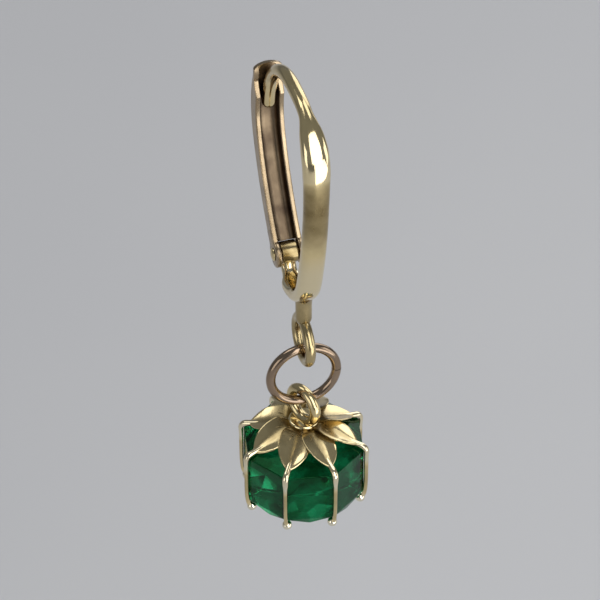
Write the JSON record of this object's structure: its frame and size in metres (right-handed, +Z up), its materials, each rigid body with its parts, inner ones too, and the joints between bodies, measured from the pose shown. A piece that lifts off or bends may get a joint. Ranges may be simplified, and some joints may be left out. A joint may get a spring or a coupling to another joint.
{
  "type": "dangle earring",
  "caption": "Leverback dangle earring: a domed gold hoop with a hinged lever, an eye, a jump ring and an octagonal green stone held by a petal cap and claws.",
  "frame": {"origin": "the top of the ear wire's arch, on the wire's centre line, where the earring hangs in the lobe", "axes": "+Z up; the hoop lies in the YZ plane with its domed front strip toward -Y and its lever toward +Y; X runs across the hoop"},
  "size_m": [0.007, 0.0103, 0.0262],
  "materials": {
    "gold": "polished",
    "stone": "polished"
  },
  "bodies": {
    "hook": {"front_hook": "gold", "hinge_pin": "gold"},
    "lever": {"lever": "gold"},
    "ring": {"jump_ring": "gold"},
    "drop": {"setting": "gold", "stone": "stone"}
  },
  "joints": [
    {"name": "lever_hinge", "type": "hinge", "parent": "hook", "child": "lever", "pos_m": [0, 0.00209, -0.01149], "axis": [-1, 0, 0], "range_deg": [0, 50]},
    {"name": "ring_swing", "type": "hinge", "parent": "hook", "child": "ring", "pos_m": [0, -0.00065, -0.0163], "axis": [0, 1, 0], "range_deg": [-60, 60]},
    {"name": "drop_swing", "type": "hinge", "parent": "ring", "child": "drop", "pos_m": [0, -0.00065, -0.01927], "axis": [1, 0, 0], "range_deg": [-60, 60]}
  ]
}
